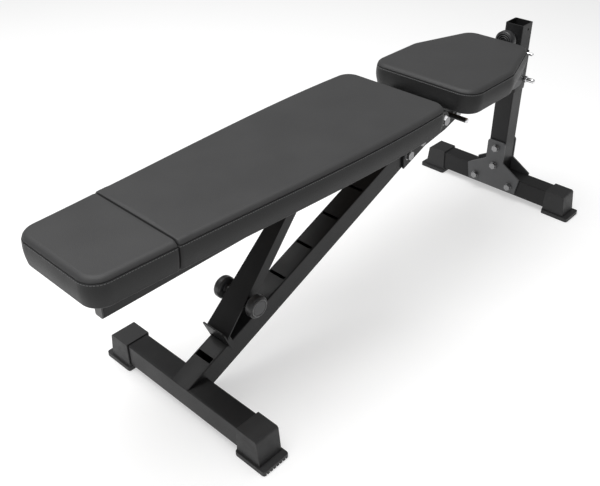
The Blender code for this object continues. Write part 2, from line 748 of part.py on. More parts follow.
def build_frame():
    for name, x in (("ladder", LADDER_FOOT_X), ("post", POST_X)):
        tube = foot_tube(name + "_foot_tube", x)
        if name == "post":
            for y, z in GUSSET_BOLTS[2:]:
                drill(tube, M10 + GAP, (x, y, z), (1, 0, 0), 0.08)
        finish(tube, BLACK_PAINT)
        finish(foot_cap(name + "_foot_cap_left", x, 1), RUBBER)
        finish(foot_cap(name + "_foot_cap_right", x, -1), RUBBER)
    ladder = ladder_tube()
    for x, z in HEAD_BOLTS:
        drill(ladder, M12 + GAP, (x, 0, z))
    finish(ladder, BLACK_PAINT)
    finish(head_bracket_plate("head_bracket_plate_left", 1), BLACK_PAINT)
    finish(head_bracket_plate("head_bracket_plate_right", -1), BLACK_PAINT)
    grip = 2 * (PLATE_INNER_Y + PLATE_THICKNESS)
    bolts = zip(("ladder_bolt_lower", "ladder_bolt_upper", "beam_bolt_front", "beam_bolt_rear"),
                HEAD_BOLTS + BEAM_BOLTS)
    for name, (x, z) in bolts:
        finish(hex_bolt(name, (x, 0, z), (0, -1, 0), grip), ZINC)
    cross_length = 2 * (RAIL_INNER_Y + RAIL_WIDTH)
    rings = [circle(CROSS_TUBE_RADIUS), circle(M12 + GAP)]
    finish(extruded("hinge_cross_tube", rings, cross_length, upright(PIVOT_X, 0, PIVOT_Z)), BLACK_PAINT)
    finish(hinge_bolt("hinge_bolt_left", 1), ZINC)
    finish(hinge_bolt("hinge_bolt_right", -1), ZINC)
    finish(main_beam(), BLACK_PAINT)


def build_seat():
    half = ROD_HALF_LENGTH
    rod = turned("seat_cross_rod", [(0, half), (ROD_RADIUS, half), (ROD_RADIUS, -half), (0, -half)],
                 (0, 1, 0), (ROD_X, 0, ROD_Z), 16)
    finish(rod, BLACK_PAINT)
    for name, side in (("rod_cap_left", 1), ("rod_cap_right", -1)):
        start = half + GAP
        profile = [(0, start + 0.004), (0.004, start + 0.0035), (ROD_RADIUS, start + 0.002),
                   (ROD_RADIUS, start), (0, start)]
        finish(turned(name, profile, (0, side, 0), (ROD_X, 0, ROD_Z), 16), CHROME)
    finish(seat_bracket("seat_bracket_front", 0.390, 0.040, -0.001), BLACK_PAINT)
    finish(seat_bracket("seat_bracket_rear", 0.530, 0.040, 0.030), BLACK_PAINT)
    pocket = seat_outline(BOARD_INSET - GAP)
    finish(cushion("seat_pad", seat_outline(), pocket, SEAT_BOTTOM, SEAT_TOP), UPHOLSTERY)
    board = extruded("seat_board", [seat_outline(BOARD_INSET)], BOARD_THICKNESS - GAP,
                     flat(0, 0, SEAT_BOTTOM + GAP / 2 + BOARD_THICKNESS / 2))
    finish(board, PLYWOOD)


def build_post():
    finish(post_tube(), BLACK_PAINT)
    finish(post_collar(), BLACK_PAINT)
    finish(post_side_plate("post_side_plate_left", 1), GREY_PAINT)
    finish(post_side_plate("post_side_plate_right", -1), GREY_PAINT)
    x, z, radius = UPPER_PIN
    finish(hitch_pin("upper_hitch_pin", UPPER_PIN, UPPER_PIN_TIP_Y), CHROME, (x, 0, z))
    x, z, radius = LOWER_PIN
    finish(hitch_pin("lower_hitch_pin", LOWER_PIN, LOWER_PIN_TIP_Y, LOWER_PIN_COLLAR_Y), CHROME, (x, 0, z))
    finish(pop_pin_housing(), ZINC)
    finish(pop_pin_knob(), PLASTIC, (POST_X - TUBE / 2, 0, POP_PIN_Z))
    finish(gusset_plate("gusset_plate_front", -1), GREY_PAINT)
    finish(gusset_plate("gusset_plate_back", 1), GREY_PAINT)
    grip = TUBE + 2 * (0.0044 + GAP)
    for name, (y, z) in zip(("upper", "lower", "left", "right"), GUSSET_BOLTS):
        bolt = hex_bolt("gusset_bolt_" + name, (POST_X, y, z), (-1, 0, 0), grip, across=0.016, shank=M10)
        finish(bolt, ZINC)


def build_backrest():
    hinge = (PIVOT_X, 0.0, PIVOT_Z)
    for name, side in (("left", 1), ("right", -1)):
        finish(backrest_rail("backrest_rail_" + name, side), BLACK_PAINT, hinge)
        finish(rail_plug("rail_plug_" + name, side), PLASTIC, hinge)
        finish(hinge_ear("hinge_ear_" + name, side), BLACK_PAINT, hinge)
    half = RAIL_INNER_Y - GAP
    crossbar = box("backrest_crossbar", (STRUT_PIVOT_X - 0.035, -half, RAIL_TOP - 0.005),
                   (STRUT_PIVOT_X + 0.035, half, RAIL_TOP))
    finish(crossbar, BLACK_PAINT, hinge)
    finish(strut_bracket(), BLACK_PAINT, hinge)
    bolt = hex_bolt("strut_pivot_bolt", (STRUT_PIVOT_X, 0, STRUT_PIVOT_Z), (0, -1, 0), 0.037, across=0.013,
                    shank=0.004)
    finish(bolt, ZINC, hinge)
    pad_end = PAD_HEAD_X + PAD_LENGTH
    top = PAD_BOTTOM + PAD_THICKNESS
    inset = BOARD_INSET
    board = pad_outline(PAD_HEAD_X, pad_end, PAD_CORNER, PAD_CORNER, inset)
    pocket = pad_outline(PAD_HEAD_X, pad_end, PAD_CORNER, PAD_CORNER, inset - GAP)
    seam = HEAD_PAD_END_X
    head = cushion("backrest_head_pad", pad_outline(PAD_HEAD_X, seam, PAD_CORNER, 0.0), pocket, PAD_BOTTOM, top)
    finish(head, UPHOLSTERY, hinge)
    body = cushion("backrest_pad", pad_outline(seam + GAP, pad_end, 0.0, PAD_CORNER), pocket, PAD_BOTTOM, top)
    finish(body, UPHOLSTERY, hinge)
    panel = extruded("backrest_board", [board], BOARD_THICKNESS - GAP,
                     flat(0, 0, PAD_BOTTOM + GAP / 2 + BOARD_THICKNESS / 2))
    finish(panel, PLYWOOD, hinge)


def build_strut():
    pivot = (STRUT_PIVOT_X, 0.0, STRUT_PIVOT_Z)
    finish(strut_channel(), BLACK_PAINT, pivot)
    finish(strut_foot(), BLACK_PAINT, pivot)
    finish(grip_pin(), ZINC, pivot)
    finish(grip_knob("grip_knob_left", 1), PLASTIC, pivot)
    finish(grip_knob("grip_knob_right", -1), PLASTIC, pivot)


build_frame()
build_seat()
build_post()
build_backrest()
build_strut()
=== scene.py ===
"""The looks of the adjustable weight bench: upholstery, coated steel, zinc, chrome, rubber and knobs."""

import json
import math

import bmesh
import bpy
from mathutils import Matrix, Vector


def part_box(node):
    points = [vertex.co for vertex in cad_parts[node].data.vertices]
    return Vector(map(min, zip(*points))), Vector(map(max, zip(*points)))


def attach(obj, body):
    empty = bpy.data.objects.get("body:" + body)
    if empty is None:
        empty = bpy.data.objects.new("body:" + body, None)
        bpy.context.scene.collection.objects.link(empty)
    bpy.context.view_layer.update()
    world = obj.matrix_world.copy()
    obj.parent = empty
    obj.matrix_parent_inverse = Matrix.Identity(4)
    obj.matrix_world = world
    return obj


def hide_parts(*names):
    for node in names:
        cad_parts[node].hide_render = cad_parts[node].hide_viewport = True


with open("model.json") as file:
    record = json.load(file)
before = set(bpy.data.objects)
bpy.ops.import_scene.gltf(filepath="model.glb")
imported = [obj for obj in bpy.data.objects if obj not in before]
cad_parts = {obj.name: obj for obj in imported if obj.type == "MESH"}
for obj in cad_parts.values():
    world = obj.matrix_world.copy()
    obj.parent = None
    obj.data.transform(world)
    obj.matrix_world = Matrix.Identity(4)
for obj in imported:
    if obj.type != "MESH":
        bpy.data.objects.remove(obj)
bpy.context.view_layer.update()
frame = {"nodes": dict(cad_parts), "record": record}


# Studio: white air, one large softbox overhead, a fill from the head end, and the camera standing
# at the head end's right, looking down on the bench.

studio = bpy.context.scene
studio.view_settings.view_transform = "Standard"
studio.view_settings.look = "None"

world = bpy.data.worlds.new("studio_air")
world.use_nodes = True
world.node_tree.nodes["Background"].inputs["Color"].default_value = (1.0, 1.0, 1.0, 1.0)
world.node_tree.nodes["Background"].inputs["Strength"].default_value = 0.27
studio.world = world

camera_data = bpy.data.cameras.new("studio_camera")
camera_data.lens = 48.04
camera_data.sensor_width = 36.0
camera_data.shift_x = -0.0088
camera_data.shift_y = -0.0597
camera = bpy.data.objects.new("studio_camera", camera_data)
studio.collection.objects.link(camera)
camera_yaw = math.radians(42.738)
camera_pitch = math.radians(32.036)
sight = Vector((math.cos(camera_yaw) * math.cos(camera_pitch), math.sin(camera_yaw) * math.cos(camera_pitch),
                -math.sin(camera_pitch)))
camera.location = (-1.15325, -0.93682, 1.16577)
camera.rotation_mode = "QUATERNION"
camera.rotation_quaternion = sight.to_track_quat("-Z", "Y")
studio.camera = camera


def softbox(name, place, target, size, power):
    light = bpy.data.lights.new(name, "AREA")
    light.shape = "SQUARE"
    light.size = size
    light.energy = power
    lamp = bpy.data.objects.new(name, light)
    lamp.location = place
    lamp.rotation_mode = "QUATERNION"
    lamp.rotation_quaternion = (Vector(target) - Vector(place)).to_track_quat("-Z", "Y")
    studio.collection.objects.link(lamp)


softbox("softbox_overhead", (-0.6, 0.4, 3.0), (-0.3, 0.0, 0.3), 3.0, 116.0)
softbox("softbox_head_end", (-2.4, -0.6, 1.5), (-0.3, 0.0, 0.3), 1.2, 5.0)


# Shader tools, first used on the floor: a wire is a socket that takes sums and products, and a
# finish is one material whose nodes are all added by its node method.

class Wire:
    """A socket of a finish. Arithmetic on wires adds Math nodes."""

    def __init__(self, finish, socket):
        self.finish = finish
        self.socket = socket

    def math(self, operation, left, right=0.0):
        return self.finish.node("ShaderNodeMath", {"operation": operation}, {0: left, 1: right})

    def __add__(self, other):
        return self.math("ADD", self, other)

    def __sub__(self, other):
        return self.math("SUBTRACT", self, other)

    def __rsub__(self, other):
        return self.math("SUBTRACT", other, self)

    def __mul__(self, other):
        return self.math("MULTIPLY", self, other)

    def __truediv__(self, other):
        return self.math("DIVIDE", self, other)

    def __gt__(self, other):
        return self.math("GREATER_THAN", self, other)

    def __abs__(self):
        return self.math("ABSOLUTE", self)

    def part(self):
        """What is left after the whole number is taken away."""
        return self.math("FRACT", self)

    __radd__ = __add__
    __rmul__ = __mul__


class Finish:
    """One material. Constants are set on its Principled shader by name."""

    def __init__(self, name, values):
        self.material = bpy.data.materials.new(name)
        self.material.use_nodes = True
        self.tree = self.material.node_tree
        self.shader = self.tree.nodes["Principled BSDF"]
        self.feed(self.shader, values)

    def feed(self, target, inputs):
        for key, value in inputs.items():
            if isinstance(value, Wire):
                self.tree.links.new(value.socket, target.inputs[key])
            else:
                target.inputs[key].default_value = value

    def node(self, kind, settings, inputs, output=0):
        made = self.tree.nodes.new(kind)
        for key, value in settings.items():
            setattr(made, key, value)
        self.feed(made, inputs)
        return Wire(self, made.outputs[output])

    def place(self):
        return self.node("ShaderNodeTexCoord", {}, {}, "Object")

    def noise(self, size, detail=3.0, roughness=0.5):
        """Noise whose features are about this size in metres, from 0 to 1."""
        return self.node("ShaderNodeTexNoise", {}, {"Vector": self.place(), "Scale": 1.0 / size,
                                                    "Detail": detail, "Roughness": roughness})

    def cells(self, size, output="Distance", feature="F1"):
        return self.node("ShaderNodeTexVoronoi", {"feature": feature},
                         {"Vector": self.place(), "Scale": 1.0 / size}, output)

    def between(self, share, dark, light):
        """A colour between two, by a share from 0 to 1."""
        return self.node("ShaderNodeMix", {"data_type": "RGBA"},
                         {"Factor": share, 6: (*dark, 1.0), 7: (*light, 1.0)}, 2)

    def span(self, wire, low, high, new_low, new_high):
        return self.node("ShaderNodeMapRange", {}, {"Value": wire, "From Min": low, "From Max": high,
                                                    "To Min": new_low, "To Max": new_high})

    def relief(self, height, depth, strength=1.0):
        """Bumps the surface by a height wire times a depth in metres."""
        return self.node("ShaderNodeBump", {}, {"Height": height, "Distance": depth, "Strength": strength})


# Floor: a seamless pale floor, matt, lit from below so that only soft shadows stay on it.

floor_finish = Finish("studio_floor", {"Roughness": 0.9, "Specular IOR Level": 0.1, "Emission Strength": 0.45,
                                       "Emission Color": (1.0, 1.0, 1.0, 1.0)})
floor_tone = floor_finish.noise(0.5)
floor_finish.feed(floor_finish.shader, {
    "Base Color": floor_finish.between(floor_tone, (0.62, 0.62, 0.62), (0.64, 0.64, 0.64))})
bpy.ops.object.select_all(action="DESELECT")
bpy.ops.mesh.primitive_plane_add(size=60.0, location=(0.0, 0.0, -0.0005))
floor = bpy.context.object
floor.name = "studio_floor"
floor.data.materials.append(floor_finish.material)


# Black frame steel: square tube, plate and folded sheet, welded and then powder coated in a satin
# black with a fine orange peel. Each piece is drawn from its solid, with its cut edges broken.

node_bodies = {node: body for body, nodes in frame["record"]["behaviour"]["bodies"].items() for node in nodes}

frame_black = Finish("satin_black_powder_coat", {"Specular IOR Level": 0.26})
coat_cloud = frame_black.noise(0.06, 2.0)
coat_peel = frame_black.noise(0.0016, 1.0)
coat_speck = frame_black.cells(0.0009)
frame_black.feed(frame_black.shader, {
    "Base Color": frame_black.between(coat_cloud, (0.0100, 0.0100, 0.0105), (0.0150, 0.0150, 0.0155)),
    "Roughness": frame_black.span(coat_cloud, 0.3, 0.7, 0.34, 0.44),
    "Normal": frame_black.relief(coat_peel * 0.8 + coat_speck * 0.4, 0.00012)})


def only(piece):
    """Makes one object the only selected and active one."""
    bpy.ops.object.select_all(action="DESELECT")
    piece.select_set(True)
    bpy.context.view_layer.objects.active = piece


def stands_for(piece, finish, slot, *nodes):
    """Gives a finished piece its material and its body, and hides the solids it stands for."""
    piece.data.materials.clear()
    piece.data.materials.append(finish.material)
    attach(piece, node_bodies[nodes[0]])
    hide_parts(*nodes)


def broken_edges(node, width, finish, slot):
    """A piece drawn from a solid: its facets merged, its sharp edges rounded over."""
    piece = bpy.data.objects.new(node + "_finished", frame["nodes"][node].data.copy())
    studio.collection.objects.link(piece)
    only(piece)
    bpy.ops.object.mode_set(mode="EDIT")
    bpy.ops.mesh.select_all(action="SELECT")
    bpy.ops.mesh.remove_doubles(threshold=0.00002)
    bpy.ops.mesh.dissolve_limited(angle_limit=math.radians(1.0))
    bpy.ops.object.mode_set(mode="OBJECT")
    edge = piece.modifiers.new("broken_edge", "BEVEL")
    edge.width = width
    edge.segments = 3
    edge.limit_method = "ANGLE"
    edge.angle_limit = math.radians(40)
    edge.use_clamp_overlap = True
    bpy.ops.object.modifier_apply(modifier=edge.name)
    bpy.ops.object.shade_smooth_by_angle(angle=math.radians(32))
    flats = piece.modifiers.new("flat_faces", "WEIGHTED_NORMAL")
    flats.keep_sharp = True
    flats.weight = 100
    bpy.ops.object.modifier_apply(modifier=flats.name)
    stands_for(piece, finish, slot, node)


black_steel = {"ladder_foot_tube": 0.0006, "post_foot_tube": 0.0006, "ladder_tube": 0.0005,
               "main_beam": 0.0006, "post_tube": 0.0006, "post_collar": 0.0006,
               "head_bracket_plate_left": 0.0008, "head_bracket_plate_right": 0.0008,
               "hinge_cross_tube": 0.0008, "seat_bracket_front": 0.0005,
               "seat_bracket_rear": 0.0005, "seat_cross_rod": 0.0006, "backrest_rail_left": 0.0005,
               "backrest_rail_right": 0.0005, "hinge_ear_left": 0.0008, "hinge_ear_right": 0.0008,
               "backrest_crossbar": 0.0008, "strut_bracket": 0.0005, "strut_channel": 0.0006,
               "strut_foot": 0.0006}
for steel_node, steel_edge in black_steel.items():
    broken_edges(steel_node, steel_edge, frame_black, "frame_paint")


# Gusset plates and post side plates: laser cut plate, powder coated in a dark gunmetal grey. The
# gussets are bolted through the post's foot, and the side plates are welded to the post's collar.

gunmetal = Finish("gunmetal_powder_coat", {"Metallic": 0.25, "Specular IOR Level": 0.5})
gun_cloud = gunmetal.noise(0.03, 2.0)
gun_peel = gunmetal.noise(0.0014, 1.0)
gunmetal.feed(gunmetal.shader, {
    "Base Color": gunmetal.between(gun_cloud, (0.075, 0.076, 0.078), (0.098, 0.099, 0.102)),
    "Roughness": gunmetal.span(gun_cloud, 0.3, 0.7, 0.38, 0.46),
    "Normal": gunmetal.relief(gun_peel, 0.00007)})
for plate_node in ("gusset_plate_front", "gusset_plate_back", "post_side_plate_left",
                   "post_side_plate_right"):
    broken_edges(plate_node, 0.0007, gunmetal, "grey_paint")


# Foot caps: thick moulded rubber sleeves pushed over the tube ends, each on a wider notched sole.

cap_rubber = Finish("moulded_rubber", {"Specular IOR Level": 0.40})
rubber_cloud = cap_rubber.noise(0.02, 2.0)
rubber_pebble = cap_rubber.cells(0.0011)
cap_rubber.feed(cap_rubber.shader, {
    "Base Color": cap_rubber.between(rubber_cloud, (0.015, 0.015, 0.0155), (0.021, 0.021, 0.0215)),
    "Roughness": cap_rubber.span(rubber_cloud, 0.3, 0.7, 0.46, 0.58),
    "Normal": cap_rubber.relief(rubber_pebble, 0.00012)})
for cap_node in ("ladder_foot_cap_left", "ladder_foot_cap_right", "post_foot_cap_left",
                 "post_foot_cap_right"):
    broken_edges(cap_node, 0.0014, cap_rubber, "rubber")


# Fasteners: zinc plated hex bolts with their washers and nuts, bright with a faint milky bloom. The
# pull knob's barrel and the strut's plain cross pin have the same plating.

zinc = Finish("zinc_plate", {"Metallic": 1.0})
zinc_cloud = zinc.noise(0.006, 3.0)
zinc_grain = zinc.noise(0.0006, 2.0)
zinc.feed(zinc.shader, {
    "Base Color": zinc.between(zinc_cloud, (0.22, 0.22, 0.224), (0.36, 0.36, 0.364)),
    "Roughness": zinc.span(zinc_cloud, 0.3, 0.7, 0.22, 0.36),
    "Normal": zinc.relief(zinc_grain, 0.00003)})
zinc_nodes = [part["node"] for part in frame["record"]["subparts"] if part["material_slot"] == "zinc"]
for zinc_node in zinc_nodes:
    broken_edges(zinc_node, 0.0004, zinc, "zinc")


# Turned pieces: the grip knobs, the pull knob and the chromed pins are spun from their profiles.

def spun(name, profile, place, axis, steps=64):
    """Spins a profile of (radius, height) from the outer end to the inner end about an axis."""
    outline = bpy.data.meshes.new(name)
    piece = bpy.data.objects.new(name, outline)
    studio.collection.objects.link(piece)
    form = bmesh.new()
    rim = [form.verts.new((radius, 0.0, height)) for radius, height in profile]
    for upper, lower in zip(rim, rim[1:]):
        form.edges.new((upper, lower))
    form.to_mesh(outline)
    form.free()
    only(piece)
    bpy.ops.object.mode_set(mode="EDIT")
    bpy.ops.mesh.select_all(action="SELECT")
    bpy.ops.mesh.spin(steps=steps, angle=2 * math.pi, center=(0, 0, 0), axis=(0, 0, 1))
    bpy.ops.mesh.select_all(action="SELECT")
    bpy.ops.mesh.remove_doubles(threshold=0.00001)
    bpy.ops.mesh.normals_make_consistent(inside=False)
    bpy.ops.object.mode_set(mode="OBJECT")
    turn = Vector(axis).to_track_quat("Z", "X").to_matrix().to_4x4()
    piece.data.transform(Matrix.Translation(place) @ turn)
    bpy.ops.object.shade_smooth_by_angle(angle=math.radians(28))
    return piece


def curve_between(start, end, bulge, steps=5):
    """Points on a soft curve from one profile point to the next, swelling outwards."""
    points = []
    for i in range(1, steps):
        t = i / steps
        lift = bulge * math.sin(math.pi * t)
        along = (end[0] - start[0], end[1] - start[1])
        length = math.hypot(*along)
        points.append((start[0] + along[0] * t - along[1] / length * lift,
                       start[1] + along[1] * t + along[0] / length * lift))
    return points


def middle_of(node):
    low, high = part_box(node)
    return (Vector(low) + Vector(high)) / 2


# Grip knobs: black moulded knobs pressed on the ends of the strut's cross pin, each with a hub
# towards the strut, a flat face outwards in a lighter grey, and a raised ring round that face
# whose light grey is a painted highlight.

knob_black = Finish("moulded_knob_plastic", {"Specular IOR Level": 0.5})
knob_cloud = knob_black.noise(0.012, 2.0)
knob_grain = knob_black.noise(0.0007, 2.0)
knob_black.feed(knob_black.shader, {
    "Base Color": knob_black.between(knob_cloud, (0.016, 0.016, 0.017), (0.024, 0.024, 0.025)),
    "Roughness": knob_black.span(knob_cloud, 0.3, 0.7, 0.32, 0.42),
    "Normal": knob_black.relief(knob_grain, 0.00005)})
# The knobs' faces are a lighter grey than their bodies.
knob_face = Finish("lighter_knob_face", {"Specular IOR Level": 0.5})
face_cloud = knob_face.noise(0.008, 3.0)
knob_face.feed(knob_face.shader, {
    "Base Color": knob_face.between(face_cloud, (0.046, 0.046, 0.048), (0.062, 0.062, 0.064)),
    "Roughness": knob_face.span(face_cloud, 0.3, 0.7, 0.40, 0.50),
    "Normal": knob_face.relief(knob_face.noise(0.0007, 2.0), 0.00005)})
# The raised ring's light grey is a painted highlight on its lip.
knob_ring = Finish("painted_highlight_knob_ring", {"Specular IOR Level": 0.6, "Roughness": 0.3})
ring_cloud = knob_ring.noise(0.004, 2.0)
knob_ring.feed(knob_ring.shader, {
    "Base Color": knob_ring.between(ring_cloud, (0.105, 0.105, 0.107), (0.135, 0.135, 0.137)),
    "Normal": knob_ring.relief(ring_cloud, 0.00003)})
for knob_node, knob_side in (("grip_knob_left", 1), ("grip_knob_right", -1)):
    low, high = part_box(knob_node)
    radius = (high[0] - low[0]) / 2
    thick = high[1] - low[1]
    hub = thick - 0.020
    centre = middle_of(knob_node) - Vector((0, knob_side * thick / 2, 0))
    face = [(0.0, thick - 0.0004), (0.0060, thick - 0.0004), (0.0120, thick - 0.0005),
            (0.0156, thick - 0.0007),
            (0.0160, thick - 0.0016), (0.0168, thick - 0.0016), (0.0172, thick - 0.0002), (0.0176, thick),
            (0.0184, thick), (0.0188, thick - 0.0004), (0.0192, thick - 0.0026), (0.0200, thick - 0.0026)]
    rim_start = (radius - 0.0034, thick - 0.0022)
    rim_end = (radius, thick - 0.0068)
    face += [rim_start] + curve_between(rim_start, rim_end, 0.0008) + [rim_end]
    face += [(radius, hub + 0.0045), (radius - 0.0008, hub + 0.0030), (radius - 0.0030, hub + 0.0006)]
    face += [(radius - 0.0042, hub), (0.0115, hub), (0.0105, hub - 0.0010), (0.0105, 0.0008), (0.0098, 0.0)]
    face += [(0.0063, 0.0), (0.0063, thick - 0.0132), (0.0, thick - 0.0132)]
    knob = spun(knob_node + "_finished", face, centre, (0, knob_side, 0))
    stands_for(knob, knob_black, "plastic", knob_node)
    knob.data.materials.append(knob_face.material)
    knob.data.materials.append(knob_ring.material)
    # Polygons on the face take the lighter grey, and those on the raised ring the painted highlight.
    for polygon in knob.data.polygons:
        out = (polygon.center.y - centre.y) * knob_side
        from_axis = math.hypot(polygon.center.x - centre.x, polygon.center.z - centre.z)
        if out > thick - 0.0024 and from_axis < 0.0191:
            polygon.material_index = 1 if from_axis < 0.0164 else 2


# Pull knob: a round moulded knob with raised rings on its face, on the sprung pin that locks the
# square socket at the post's top. It faces the seat.

low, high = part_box("pop_pin_knob")
pull_radius = (high[1] - low[1]) / 2
pull_middle = middle_of("pop_pin_knob")
pull_thick = 0.0205
pull_back = low[0] + pull_thick
pull_disc = pull_thick - 0.0005
pull_face = [(0.0, pull_disc - 0.0004), (0.0052, pull_disc), (0.0062, pull_disc - 0.0003)]
for ring_inner in (0.0062, 0.0112, 0.0162):
    pull_face += [(ring_inner + 0.0004, pull_disc - 0.0018), (ring_inner + 0.0024, pull_disc - 0.0018),
                  (ring_inner + 0.0029, pull_disc - 0.0002), (ring_inner + 0.0039, pull_disc + 0.0005),
                  (ring_inner + 0.0049, pull_disc - 0.0002)]
pull_rim = (pull_radius, pull_thick - 0.0042)
pull_face += curve_between(pull_face[-1], pull_rim, 0.0009) + [pull_rim]
pull_face += [(pull_radius, 0.0040), (pull_radius - 0.0010, 0.0016), (pull_radius - 0.0032, 0.0),
              (0.0048, 0.0), (0.0048, -0.0385), (0.0040, -0.0400), (0.0, -0.0400)]
pull_knob = spun("pull_knob_finished", pull_face, (pull_back, 0.0, pull_middle.z), (-1, 0, 0))
stands_for(pull_knob, knob_black, "plastic", "pop_pin_knob")
pull_knob.data.materials.append(knob_face.material)
# Its face takes the same lighter grey as the grip knobs' faces.
for polygon in pull_knob.data.polygons:
    if polygon.center.x < pull_back - pull_disc:
        polygon.material_index = 1


# Rail plugs: thin plastic plugs pressed into the head ends of the two rails, in the same moulded
# plastic as the knobs.

for plug_node in ("rail_plug_left", "rail_plug_right"):
    broken_edges(plug_node, 0.0006, knob_black, "plastic")


# Hitch pins and rod caps: chromed steel, turned, with domed ends. The pins slide out of the post to
# the right, and the caps are pressed on the ends of the black rod under the seat.

chrome = Finish("bright_chrome", {"Metallic": 1.0})
chrome_cloud = chrome.noise(0.004, 3.0)
chrome.feed(chrome.shader, {
    "Base Color": chrome.between(chrome_cloud, (0.74, 0.74, 0.75), (0.82, 0.82, 0.83)),
    "Roughness": chrome.span(chrome_cloud, 0.3, 0.7, 0.10, 0.20)})


def chrome_pin(node, radius, collar):
    """A pin across the bench: domed at its outer end, with an optional collar."""
    low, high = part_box(node)
    centre = middle_of(node)
    long = high[1] - low[1]
    dome = radius * 0.7
    profile = [(0.0, long), (radius * 0.45, long - dome * 0.10), (radius * 0.80, long - dome * 0.42)]
    profile += [(radius * 0.96, long - dome * 0.78), (radius, long - dome)]
    if collar:
        start = long - 0.022
        profile += [(radius, start), (radius + 0.0024, start), (radius + 0.003, start - 0.0008)]
        profile += [(radius + 0.003, start - 0.0052), (radius + 0.0024, start - 0.006),
                    (radius, start - 0.006)]
    profile += [(radius, 0.0006), (radius - 0.0006, 0.0), (0.0, 0.0)]
    pin = spun(node + "_finished", profile, (centre.x, high[1], centre.z), (0, -1, 0), 40)
    stands_for(pin, chrome, "chrome", node)


chrome_pin("upper_hitch_pin", 0.004, False)
chrome_pin("lower_hitch_pin", 0.0058, True)
for cap_node, cap_side in (("rod_cap_left", 1), ("rod_cap_right", -1)):
    low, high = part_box(cap_node)
    radius = (high[0] - low[0]) / 2
    tall = high[1] - low[1]
    base = middle_of(cap_node) - Vector((0, cap_side * tall / 2, 0))
    dome = [(0.0, tall), (radius * 0.5, tall - 0.0003), (radius * 0.85, tall - 0.0011),
            (radius, tall - 0.0024)]
    dome += [(radius, 0.0), (0.0, 0.0)]
    stands_for(spun(cap_node + "_finished", dome, base, (0, cap_side, 0), 40), chrome, "chrome", cap_node)


# Boards: bare plywood under each pad, with a faint long grain, screwed to the rails and brackets
# from below.

plywood = Finish("bare_plywood", {"Roughness": 0.8})
ply_place = plywood.node("ShaderNodeMapping", {}, {"Vector": plywood.place(), "Scale": (6.0, 90.0, 90.0)})
ply_grain = plywood.node("ShaderNodeTexNoise", {}, {"Vector": ply_place, "Scale": 1.5, "Detail": 5.0})
plywood.feed(plywood.shader, {
    "Base Color": plywood.between(ply_grain, (0.16, 0.11, 0.07), (0.26, 0.19, 0.125)),
    "Normal": plywood.relief(ply_grain, 0.0002)})
for board_node in ("backrest_board", "seat_board"):
    broken_edges(board_node, 0.0008, plywood, "plywood")


# Upholstery: dense foam on each board, pulled tight in a matt black synthetic leather with a fine
# grain. A sewn seam runs round each side a finger's width below the top, with a row of stitches.

def leather(name, stitch_offset):
    """Synthetic leather whose seam and stitches follow the piece's own UV map, in metres."""
    made = Finish(name, {"Specular IOR Level": 0.24})
    uv = made.node("ShaderNodeUVMap", {"uv_map": "seam"}, {})
    across = made.node("ShaderNodeSeparateXYZ", {}, {"Vector": uv}, "Y")
    round_pad = made.node("ShaderNodeSeparateXYZ", {}, {"Vector": uv}, "X")
    cloud = made.noise(0.09, 3.0)
    grain = made.cells(0.0013, feature="F1")
    crease = made.noise(0.0035, 4.0, 0.6)
    groove = made.span(abs(across), 0.0004, 0.0014, 1.0, 0.0)
    stitch_row = made.span(abs(across - stitch_offset), 0.0004, 0.0007, 1.0, 0.0)
    stitch_gap = made.span(abs((round_pad / 0.0052).part() - 0.5), 0.34, 0.40, 1.0, 0.0)
    stitches = stitch_row * stitch_gap
    # The top and the side below the seam are lit and shaded copies of the same leather: the darker side is
    # painted shade, as the sides face away from the overhead softbox.
    lit_top_panel = made.between(cloud, (0.036, 0.036, 0.0365), (0.047, 0.047, 0.0475))
    shaded_side_panel = made.between(cloud, (0.015, 0.015, 0.0152), (0.021, 0.021, 0.0212))
    colour = made.node("ShaderNodeMix", {"data_type": "RGBA"},
                       {"Factor": across > 0.0, 6: shaded_side_panel, 7: lit_top_panel}, 2)
    # The seam's groove is darkened nearly to black: painted shade in the crease.
    shaded = made.node("ShaderNodeMix", {"data_type": "RGBA"},
                       {"Factor": groove * 0.92, 6: colour, 7: (0.003, 0.003, 0.003, 1.0)}, 2)
    # The row of stitches below the seam is light grey: partly the thread's own colour and partly a painted
    # highlight along the seam's lower lip.
    stitch_thread_and_highlight = made.node("ShaderNodeMix", {"data_type": "RGBA"},
                         {"Factor": stitches, 6: shaded, 7: (0.120, 0.120, 0.122, 1.0)}, 2)
    height = grain * 0.35 + crease * 0.45 + stitches * 1.6 - groove * 1.2
    made.feed(made.shader, {
        "Base Color": stitch_thread_and_highlight,
        "Roughness": made.span(cloud, 0.3, 0.7, 0.44, 0.52),
        "Normal": made.relief(height, 0.00040)})
    return made


upholstery = leather("black_synthetic_leather", -0.0032)


def arc_points(centre, radius, start, end, steps):
    angles = (math.radians(start + (end - start) * i / steps) for i in range(steps + 1))
    return [Vector((centre[0] + radius * math.cos(a), centre[1] + radius * math.sin(a))) for a in angles]


def even_steps(points, step):
    """The same open line with points at an even spacing."""
    lengths = [0.0]
    for a, b in zip(points, points[1:]):
        lengths.append(lengths[-1] + (b - a).length)
    count = max(2, round(lengths[-1] / step))
    made = []
    at = 0
    for i in range(count + 1):
        goal = lengths[-1] * i / count
        while at < len(points) - 2 and lengths[at + 1] < goal:
            at += 1
        share = (goal - lengths[at]) / max(lengths[at + 1] - lengths[at], 1e-9)
        made.append(points[at].lerp(points[at + 1], min(max(share, 0.0), 1.0)))
    return made


PAD_EDGE = 0.0135
PAD_POCKET = 0.0115
SEAM_DROP = 0.0088
PULLED_IN = 0.0022
PUCKER_DEPTH = 0.00022


